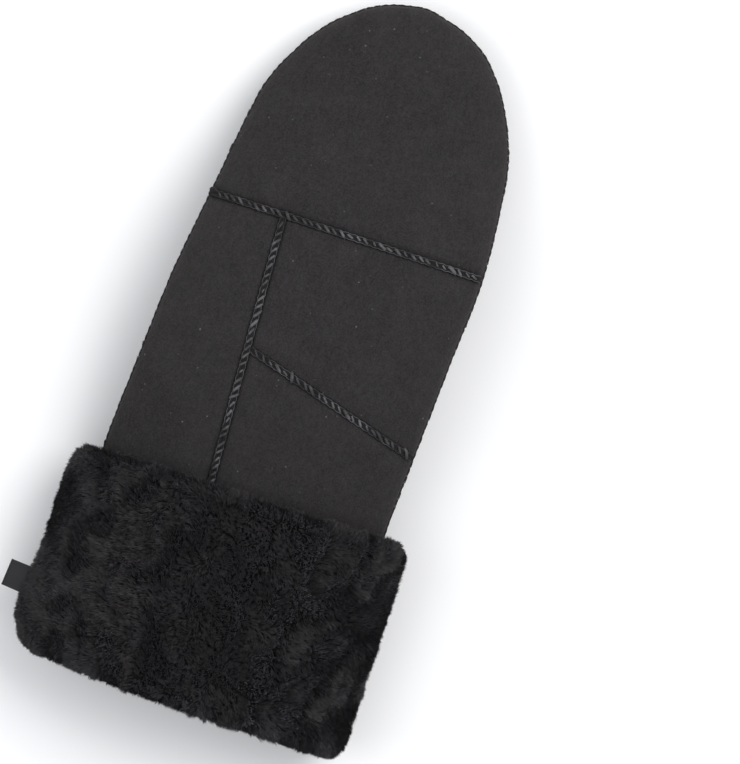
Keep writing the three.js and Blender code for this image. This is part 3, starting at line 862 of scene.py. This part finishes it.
def bowed(points):
    """The fold bulges away from the hand and lies askew. The left side swells near the fold."""
    x, y, z = points.T
    across = x / (HALF_WIDTH + OUTER)
    left = 1 - (y - FOLD_Y) / CUFF_HEIGHT
    near_left = np.clip(-across, 0, 1.2)
    swell = LEFT_SWELL * near_left**4 * np.exp(-(((y + 26) / 15) ** 2))
    rise = LEFT_RISE * near_left**6 * np.clip(left, 0, 1.2) ** 4
    drop = CORNER_DROP * near_left**8 * np.clip(1 - left * 5, 0, 1)
    bow = (FOLD_BOW * np.maximum(0, 1 - across**2) + FOLD_SKEW * across) * left**2
    return np.stack([x - swell, y + rise - drop - bow, z], axis=1)


def ring_point(along, turn, out):
    """Point of a ring round the hand, by place along it, turn round it and distance out from the leather."""
    station = station_at(FOLD_Y + along)
    over = turn < 0.5
    across = np.where(over, 2 * even(turn * 2) - 1, 1 - 2 * even(turn * 2 - 1))
    side = np.where(over, 1.0, -1.0)
    left, right = edge_at(station / 2, -out), edge_at(1 - station / 2, -out)
    point = left + (right - left) * ((1 + across) / 2)[:, None]
    round_off = rounding(across)
    bulge = smooth_curve(FULL, station / 2)[:, 0] * (BACK_RISE + out) * round_off
    point[:, 2] += side * (EDGE_HALF * np.minimum(1, 3 * round_off) + bulge)
    return point


# Outline of the cuff's wool from the mouth, round the fold, along the outside and under the upper edge.
# Each row is a distance along from the fold and a distance out from the leather.
Turn = namedtuple("Turn", "along out")
WOOL_LINE = [
    Turn(ROLL_DEPTH + 24, MOUTH), Turn(ROLL_DEPTH, MOUTH), Turn(FOLD_WALL, MOUTH), Turn(3.9, MOUTH + 1.65),
    Turn(0.6, INNER * 0.4), Turn(0.1, OUTER * 0.32), Turn(2.2, OUTER * 0.74), Turn(8.2, OUTER * 0.97),
    Turn(20, OUTER), Turn(45, OUTER), Turn(70, OUTER), Turn(CUFF_HEIGHT - 9, OUTER * 0.98),
    Turn(CUFF_HEIGHT - 3, OUTER * 0.84), Turn(CUFF_HEIGHT, OUTER * 0.5),
    Turn(CUFF_HEIGHT - 2.5, LIP_STAND + 0.6), Turn(CUFF_HEIGHT - 16, 1.4),
]
WOOL_POINTS = np.array([[t.along, t.out] for t in WOOL_LINE])
WOOL_LENGTHS = np.concatenate([[0], np.cumsum(np.hypot(*np.diff(WOOL_POINTS, axis=0).T))])
WOOL_LENGTHS /= WOOL_LENGTHS[-1]

mounds = Swell(24)
tufting = Swell(10)


def wool_line(share):
    """Place on the wool's outline, and the outward direction there, by share of its length."""
    at = np.interp(share, WOOL_LENGTHS, np.linspace(0, 1, len(WOOL_LINE)))
    point = smooth_curve(WOOL_POINTS, at)
    ahead = smooth_curve(WOOL_POINTS, at + 2e-3) - smooth_curve(WOOL_POINTS, at - 2e-3)
    ahead /= np.linalg.norm(ahead, axis=1)[:, None]
    return point, np.stack([-ahead[:, 1], ahead[:, 0]], axis=1)


def wool_surface(share, turn, sink):
    """Point of the cuff's wool, sunk by a depth below the tips of its strands."""
    line, out = wool_line(share)
    along, away = (line - sink * out).T
    point = ring_point(along, turn, away)
    outer = np.clip((share - 0.28) / 0.1, 0, 1)
    point = point + (bowed(point) - point) * outer[:, None]
    x, y = point[:, 0], point[:, 1]
    lumps = 0.9 * mounds(x + 40 * (turn > 0.5), y) + 0.5 * tufting(x, y)
    lumps *= np.clip(4 * np.sin(2 * np.pi * turn), -1, 1) * np.clip((share - 0.3) / 0.1, 0, 1)
    point[:, 2] += 0.55 * lumps
    point[:, 2] = np.maximum(point[:, 2], 0.25)
    return point


# The wool's bed closes along the leather, from under the upper edge back into the mouth
BED_BACK = [
    Turn(CUFF_HEIGHT - 17, 0.9), Turn(CUFF_HEIGHT - 30, 0.5), Turn(FOLD_WALL + 6, 0.5),
    Turn(FOLD_WALL - 1.2, 0.4), Turn(FOLD_WALL - 1.2, INNER), Turn(ROLL_DEPTH, INNER - 0.2),
    Turn(ROLL_DEPTH + 23, INNER - 1.2),
]


def cuff_bed():
    """The dense wool under the strands: the outline's face, closed along the leather."""
    rows_out, rows_back = 72, 18

    def place(u, v):
        row = v * (rows_out + rows_back)
        front = row / rows_out
        on_front = front <= 1
        point = wool_surface(np.clip(front, 0, 1), u % 1.0, STRAND_ROOM * 0.8)
        line = smooth_curve(BED_BACK, np.clip((row - rows_out) / rows_back, 0, 1))
        back = ring_point(line[:, 0], u % 1.0, line[:, 1])
        back[:, 2] = np.maximum(back[:, 2], 0.4)
        return np.where(on_front[:, None], point, back)

    obj = grid("cuff_wool_bed", 156, rows_out + rows_back, place)
    in_edit(obj, select_all, weld, bridge_rims, face_outwards)
    finish_piece(obj, bed, "wool", "turned_cuff")


cuff_bed()

swirl = Swell(34)
swirl_two = Swell(15)


def comb(place, out, spread):
    """Direction along the surface in which the pile leans at a place, from smooth swirls."""
    angle = 2.1 * swirl(place[:, 0], place[:, 1] + place[:, 2]) + 1.2 * swirl_two(place[:, 0], place[:, 1])
    angle += rng.normal(0, spread, len(place))
    side = np.cross(out, [0.0, 1.0, 0.0])
    side /= np.maximum(np.linalg.norm(side, axis=1), 1e-6)[:, None]
    ahead = np.cross(side, out)
    return side * np.cos(angle)[:, None] + ahead * np.sin(angle)[:, None]


def rooted(count, low, high, turns):
    """Places spread over a band of the wool's outline, each with its outward direction."""
    share = rng.uniform(low, high, count)
    turn = rng.uniform(*turns, count) % 1.0
    root = wool_surface(share, turn, STRAND_ROOM)
    out = wool_surface(share, turn, 0.0) - root
    out /= np.maximum(np.linalg.norm(out, axis=1), 1e-6)[:, None]
    return root, out


def nearest(spots, centres):
    """Index of the centre that is nearest to each spot."""
    tree = kdtree.KDTree(len(centres))
    for i, centre in enumerate(centres):
        tree.insert(centre, i)
    tree.balance()
    return np.array([tree.find(spot)[1] for spot in spots])


def strand_mesh(name, points, shade):
    """Mesh of strands with five points each: two at the root, two halfway up and the tip."""
    base = np.arange(len(points))[:, None] * 5
    faces = np.concatenate([base + [0, 1, 3], base + [0, 3, 2], base + [2, 3, 4]])
    mesh = bpy.data.meshes.new(name)
    mesh.vertices.add(len(points) * 5)
    mesh.vertices.foreach_set("co", (points * MM).ravel())
    mesh.loops.add(len(faces) * 3)
    mesh.loops.foreach_set("vertex_index", faces.ravel().astype(np.int32))
    mesh.polygons.add(len(faces))
    mesh.polygons.foreach_set("loop_start", np.arange(0, len(faces) * 3, 3, dtype=np.int32))
    mesh.attributes.new("shade", "FLOAT", "POINT").data.foreach_set("value", shade.ravel())
    mesh.update()
    mesh.validate()
    obj = bpy.data.objects.new(name, mesh)
    bpy.context.scene.collection.objects.link(obj)
    return obj


def strands(name, count, low, high, turns, length, width, tufts):
    """Fine strands of sheared wool over a band of the cuff's outline, drawn together into small tufts."""
    root, out = rooted(count, low, high, turns)
    middle_of, up_of = rooted(tufts, low, high, turns)
    lean_of = comb(middle_of, up_of, 0.7)
    tall_of = length * rng.uniform(0.78, 1.18, tufts)
    leaning = tall_of * rng.uniform(0.2, 0.75, tufts)
    head_of = middle_of + up_of * (tall_of * 0.86)[:, None] + lean_of * leaning[:, None]
    shade_of = rng.uniform(0.5, 1.0, tufts)
    tuft = nearest(root, middle_of)
    tall = tall_of[tuft] * rng.uniform(0.8, 1.15, count)
    own = root + out * (tall * 0.88)[:, None] + comb(root, out, 0.6) * (tall * 0.5)[:, None]
    drawn = rng.uniform(0.15, 0.6, count)[:, None]
    tip = own * (1 - drawn) + head_of[tuft] * drawn + rng.normal(0, 0.22, (count, 3))
    middle = root * 0.45 + tip * 0.55 + out * (tall * 0.2)[:, None]
    flat = np.cross(tip - root, out)
    flat /= np.maximum(np.linalg.norm(flat, axis=1), 1e-6)[:, None]
    half = flat * (width * rng.uniform(0.6, 1.4, count) / 2)[:, None]
    points = np.stack([root - half, root + half, middle - half * 0.85, middle + half * 0.85, tip], 1)
    points[..., 2] = np.maximum(points[..., 2], 0.12)
    shade = shade_of[tuft] * rng.uniform(0.7, 1.1, count)
    # Painted shade and light along each strand: its random tone is cut to 0.12 at the root and 0.66 halfway
    # and kept whole at the tip, standing in for shade deep in the pile and the lit tips.
    shade = np.stack([shade * 0.12, shade * 0.12, shade * 0.66, shade * 0.66, shade], 1)
    finish_piece(strand_mesh(name, points, np.clip(shade, 0, 1)), wool, "wool")


# Each pile covers the wool's outline from its low to its high share, over its turns round the hand
Pile = namedtuple("Pile", "name count low high turns length width tufts")
PILES = [
    Pile("cuff_wool_left", 60000, 0.36, 0.93, (-0.035, 0.25), 4.4, 0.32, 4600),
    Pile("cuff_wool_right", 60000, 0.36, 0.93, (0.25, 0.535), 4.4, 0.32, 4600),
    Pile("cuff_wool_palm", 36000, 0.36, 0.93, (0.535, 0.965), 4.0, 0.46, 3600),
    Pile("cuff_wool_fold", 56000, 0.12, 0.37, (0, 1), 4.0, 0.36, 4800),
    Pile("mouth_wool", 24000, 0.0, 0.13, (0, 1), 3.6, 0.46, 1500),
]
for pile in PILES:
    strands(*pile)

# Wool inside the hand


def lining(name, side, *replaced):
    """Pressed wool under the back or over the palm, from the roll in the mouth to the fingertips."""
    start = float(station_at(FOLD_Y + ROLL_DEPTH + 2))

    def place(u, v):
        around = u * 2
        outer = around <= 1
        share = np.where(outer, around, 2 - around)
        across = 2 * even(share) - 1
        station = start + (1 - start) * v
        point = np.where(
            outer[:, None],
            skin(station, across, side, LEATHER + 1.2),
            skin(station, across, side, LEATHER + GAP + LINING_PILE),
        )
        inward = (~outer) * -side * 0.5 * tufting(point[:, 0], point[:, 1])
        point[:, 2] += inward * rounding(across)
        return point

    obj = grid(name, 72, 80, place)
    in_edit(obj, select_all, weld, fill_rims, face_outwards)
    finish_piece(obj, bed, "wool", *replaced)


lining("back_lining_wool", 1, "back_lining")
lining("palm_lining_wool", -1, "heel_lining", "palm_lining", "finger_lining")

# Tab
TAB_EXTRA = 1.9
TAB_SHIFT = np.array([-0.3, -2.0, 0.0])
TAB_TILT = math.radians(-5)
TAB_HALF = 0.42


def tab():
    """A short loop of tape, folded at its outer end and sewn into the wool."""
    low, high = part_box("label")
    width = (high.y - low.y) / MM
    reach = (high.x - low.x) / MM + TAB_EXTRA
    root = np.array([high.x, (low.y + high.y) / 2, (low.z + high.z) / 2]) / MM + TAB_SHIFT
    line = [
        [0, TAB_HALF], [-reach * 0.5, TAB_HALF * 1.25], [-reach + 1.1, TAB_HALF * 1.1],
        [-reach + 0.25, TAB_HALF * 0.75], [-reach, 0.0],
    ]
    line += [[x, -z] for x, z in line[-2::-1]]

    def place(u, v):
        along = smooth_curve(line, u)
        out = np.clip(-along[:, 0] / reach, 0, 1)
        beside = (v - 0.5) * width * (1 - 0.03 * out)
        hem = 0.16 * np.exp(-(((np.abs(v - 0.5) - 0.44) / 0.03) ** 2)) * np.sign(along[:, 1])
        curl = 0.9 * out**2 * (v - 0.4) + 0.35 * np.sin(np.pi * v) * out
        x = root[0] + along[:, 0] * math.cos(TAB_TILT) - beside * math.sin(TAB_TILT)
        y = root[1] + along[:, 0] * math.sin(TAB_TILT) + beside * math.cos(TAB_TILT)
        z = root[2] + along[:, 1] + hem + curl
        return np.stack([x, y, z], axis=1)

    obj = grid("label_tab", 48, 30, place)
    thicken(obj, -0.45)
    in_edit(obj, face_outwards)
    finish_piece(obj, tape, "tape", "label")


tab()

# Floor, light and camera
LIT = Vector((0.03, 0.1, 0.02))
SEEN_HEIGHT = 0.3209


def floor():
    deselect()
    bpy.ops.mesh.primitive_plane_add(size=6, location=(0, 0, 0))
    obj = bpy.context.object
    obj.name = "floor"
    m = Material("pale floor")
    colour = m.ramp(m.noise(9, 2), (0.3, grey(0.86)), (0.7, grey(0.88)))
    obj.data.materials.append(m.set(Base_Color=colour, Roughness=0.9, Specular_IOR_Level=0.1))


def area_light(name, place, size, power, tint=(1, 1, 1)):
    light = bpy.data.lights.new(name, "AREA")
    light.size = size
    light.energy = power
    light.color = tint
    obj = bpy.data.objects.new(name, light)
    bpy.context.scene.collection.objects.link(obj)
    obj.location = place
    obj.rotation_mode = "QUATERNION"
    obj.rotation_quaternion = (LIT - Vector(place)).to_track_quat("-Z", "Y")


def studio():
    floor()
    world = bpy.data.worlds.new("studio")
    world.use_nodes = True
    world.node_tree.nodes["Background"].inputs["Color"].default_value = (0.96, 0.97, 1.0, 1)
    world.node_tree.nodes["Background"].inputs["Strength"].default_value = 0.75
    bpy.context.scene.world = world
    area_light("key", (0.75, 0.95, 1.45), 1.2, 22)
    area_light("fill", (-1.1, -0.3, 1.3), 1.4, 8, (0.95, 0.97, 1.0))
    bpy.context.scene.view_settings.view_transform = "Standard"


def camera():
    """Looks straight down, turned so that the mitten leans to the right as in the photograph."""
    data = bpy.data.cameras.new("camera")
    data.sensor_width = 36
    data.lens = 400
    data.clip_start, data.clip_end = 0.05, 20
    obj = bpy.data.objects.new("camera", data)
    bpy.context.scene.collection.objects.link(obj)
    obj.location = (0.0361, 0.1071, 0.028 + SEEN_HEIGHT * data.lens / data.sensor_width)
    obj.rotation_euler = (0, 0, math.radians(18.1))
    bpy.context.scene.camera = obj


studio()
camera()
